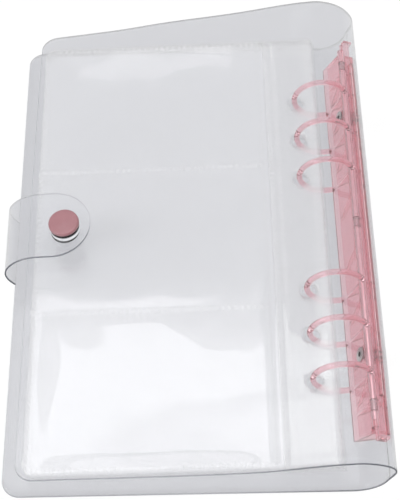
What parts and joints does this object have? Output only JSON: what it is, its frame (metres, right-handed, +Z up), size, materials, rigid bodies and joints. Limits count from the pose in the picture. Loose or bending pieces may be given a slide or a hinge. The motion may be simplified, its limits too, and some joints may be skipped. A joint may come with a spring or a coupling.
{
  "type": "photo card album",
  "caption": "Clear soft-sheet card album with a snap strap, a rose plastic ring mechanism riveted to the spine and card-pocket leaves",
  "frame": {"origin": "middle of the bounding box's bottom, on the back cover's underside", "axes": "+X from the fore-edge to the spine, +Y along the spine, +Z up from the back cover"},
  "size_m": [0.1418, 0.203, 0.0305],
  "materials": {
    "cover_sheet": "clear, faintly grey soft PVC sheet with a glossy face and darker cut edges",
    "leaf_film": "clear thin film, slightly milky, with dotted heat welds",
    "ring_plastic": "translucent rose moulded plastic, polished",
    "cap_paint": "dusty rose enamel, satin gloss",
    "snap_metal": "bright nickel plate",
    "rivet_metal": "dull plated steel",
    "spring_steel": "drawn steel wire"
  },
  "bodies": {
    "back": {"back_panel": "cover_sheet", "lower_bend": "cover_sheet"},
    "spine": {"spine_panel": "cover_sheet", "upper_bend": "cover_sheet", "ring_base": "ring_plastic", "hinge_rod": "spring_steel", "rivets": "rivet_metal", "rivet_washers": "rivet_metal"},
    "front": {"front_panel": "cover_sheet", "snap_stud": "snap_metal", "snap_post": "snap_metal"},
    "strap": {"strap_bend": "cover_sheet", "strap_tongue": "cover_sheet", "snap_cap": "cap_paint", "snap_socket": "snap_metal", "snap_spring": "spring_steel"},
    "ring_bar": {"ring_bar": "ring_plastic"},
    "leaf_1": {"leaf_1_film": "leaf_film", "leaf_1_pockets": "leaf_film", "leaf_1_strip": "leaf_film"},
    "leaf_2": {"leaf_2_film": "leaf_film", "leaf_2_pockets": "leaf_film", "leaf_2_strip": "leaf_film"},
    "leaf_3": {"leaf_3_film": "leaf_film", "leaf_3_pockets": "leaf_film", "leaf_3_strip": "leaf_film"},
    "leaf_4": {"leaf_4_film": "leaf_film", "leaf_4_pockets": "leaf_film", "leaf_4_strip": "leaf_film"},
    "leaf_5": {"leaf_5_film": "leaf_film", "leaf_5_pockets": "leaf_film", "leaf_5_strip": "leaf_film"},
    "leaf_6": {"leaf_6_film": "leaf_film", "leaf_6_pockets": "leaf_film", "leaf_6_strip": "leaf_film"}
  },
  "joints": [
    {"name": "spine_fold", "type": "hinge", "parent": "back", "child": "spine", "pos_m": [0.06388, 0, 0.00175], "axis": [0, 1, 0], "range_deg": [0, 68], "deforming": ["lower_bend"]},
    {"name": "front_fold", "type": "hinge", "parent": "spine", "child": "front", "pos_m": [0.06993, 0, 0.0243], "axis": [0, 1, 0], "range_deg": [0, 116.5], "deforming": ["upper_bend"]},
    {"name": "ring_open", "type": "hinge", "parent": "spine", "child": "ring_bar", "pos_m": [0.06478, 0, 0.01739], "axis": [0, 1, 0], "range_deg": [0, 8]},
    {"name": "strap_open", "type": "hinge", "parent": "back", "child": "strap", "pos_m": [-0.06747, 0, 0.00025], "axis": [0, -1, 0], "range_deg": [0, 65], "deforming": ["strap_bend", "strap_tongue", "snap_spring"]},
    {"name": "leaf_1_turn", "type": "hinge", "parent": "spine", "child": "leaf_1", "pos_m": [0.05528, 0, 0.0135], "axis": [0, 1, 0], "range_deg": [0, 114.5]},
    {"name": "leaf_2_turn", "type": "hinge", "parent": "spine", "child": "leaf_2", "pos_m": [0.05528, 0, 0.0135], "axis": [0, 1, 0], "range_deg": [0, 106.5]},
    {"name": "leaf_3_turn", "type": "hinge", "parent": "spine", "child": "leaf_3", "pos_m": [0.05528, 0, 0.0135], "axis": [0, 1, 0], "range_deg": [0, 90.5]},
    {"name": "leaf_4_turn", "type": "hinge", "parent": "spine", "child": "leaf_4", "pos_m": [0.05528, 0, 0.0135], "axis": [0, 1, 0], "range_deg": [-64.5, 0]},
    {"name": "leaf_5_turn", "type": "hinge", "parent": "spine", "child": "leaf_5", "pos_m": [0.05528, 0, 0.0135], "axis": [0, 1, 0], "range_deg": [-65.5, 0]},
    {"name": "leaf_6_turn", "type": "hinge", "parent": "spine", "child": "leaf_6", "pos_m": [0.05528, 0, 0.0135], "axis": [0, 1, 0], "range_deg": [-66.5, 0]}
  ],
  "couplings": [
    {"joint": "front_fold", "follows": "spine_fold", "ratio": 1.7059},
    {"joint": "leaf_1_turn", "follows": "spine_fold", "ratio": 1.6765},
    {"joint": "leaf_2_turn", "follows": "spine_fold", "ratio": 1.5588},
    {"joint": "leaf_3_turn", "follows": "spine_fold", "ratio": 1.3235},
    {"joint": "leaf_4_turn", "follows": "spine_fold", "ratio": -0.9412},
    {"joint": "leaf_5_turn", "follows": "spine_fold", "ratio": -0.9559},
    {"joint": "leaf_6_turn", "follows": "spine_fold", "ratio": -0.9706}
  ]
}
